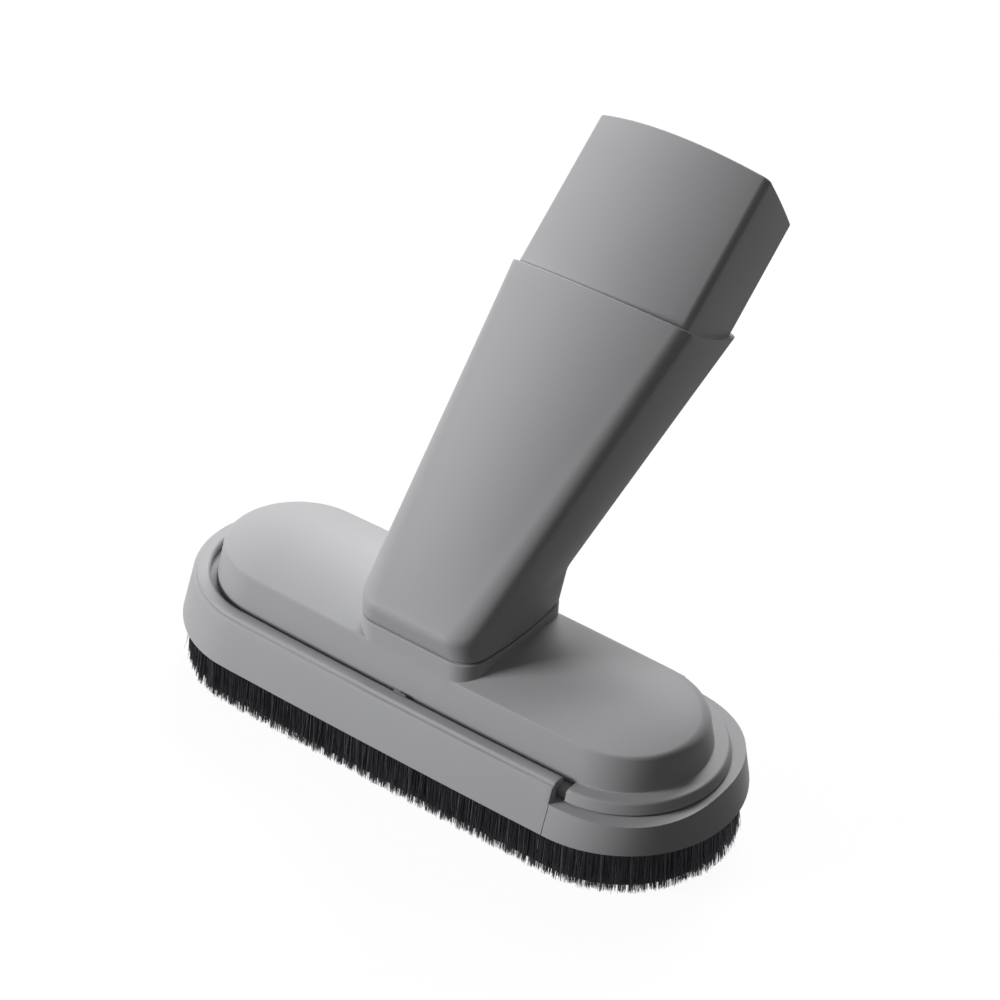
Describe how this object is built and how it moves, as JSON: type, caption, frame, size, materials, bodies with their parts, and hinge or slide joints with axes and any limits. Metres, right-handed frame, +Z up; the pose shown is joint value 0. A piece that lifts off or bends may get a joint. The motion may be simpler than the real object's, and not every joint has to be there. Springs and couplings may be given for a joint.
{
  "type": "vacuum dusting brush",
  "caption": "Dusting brush nozzle for a vacuum cleaner: a leaning oval neck on a domed suction head, with a slide-on frame that holds a ring of soft bristles.",
  "frame": {"origin": "middle of the bounding box's base, at the bristle tips", "axes": "+X along the head's length, towards the raised stop; -Y to the front, +Y to the back where the neck leans; +Z up"},
  "size_m": [0.123, 0.1044, 0.1038],
  "materials": {
    "grey_plastic": "fine matte moulded texture",
    "bristle": "dense soft bristles"
  },
  "bodies": {
    "head": {"neck": "grey_plastic", "nozzle_cover": "grey_plastic", "sole_plate": "grey_plastic"},
    "brush": {"brush_frame": "grey_plastic", "bristle_ring": "bristle"}
  },
  "joints": [
    {"name": "brush_slide", "type": "slide", "parent": "head", "child": "brush", "axis": [-1, 0, 0], "range_m": [0, 0.09]}
  ]
}
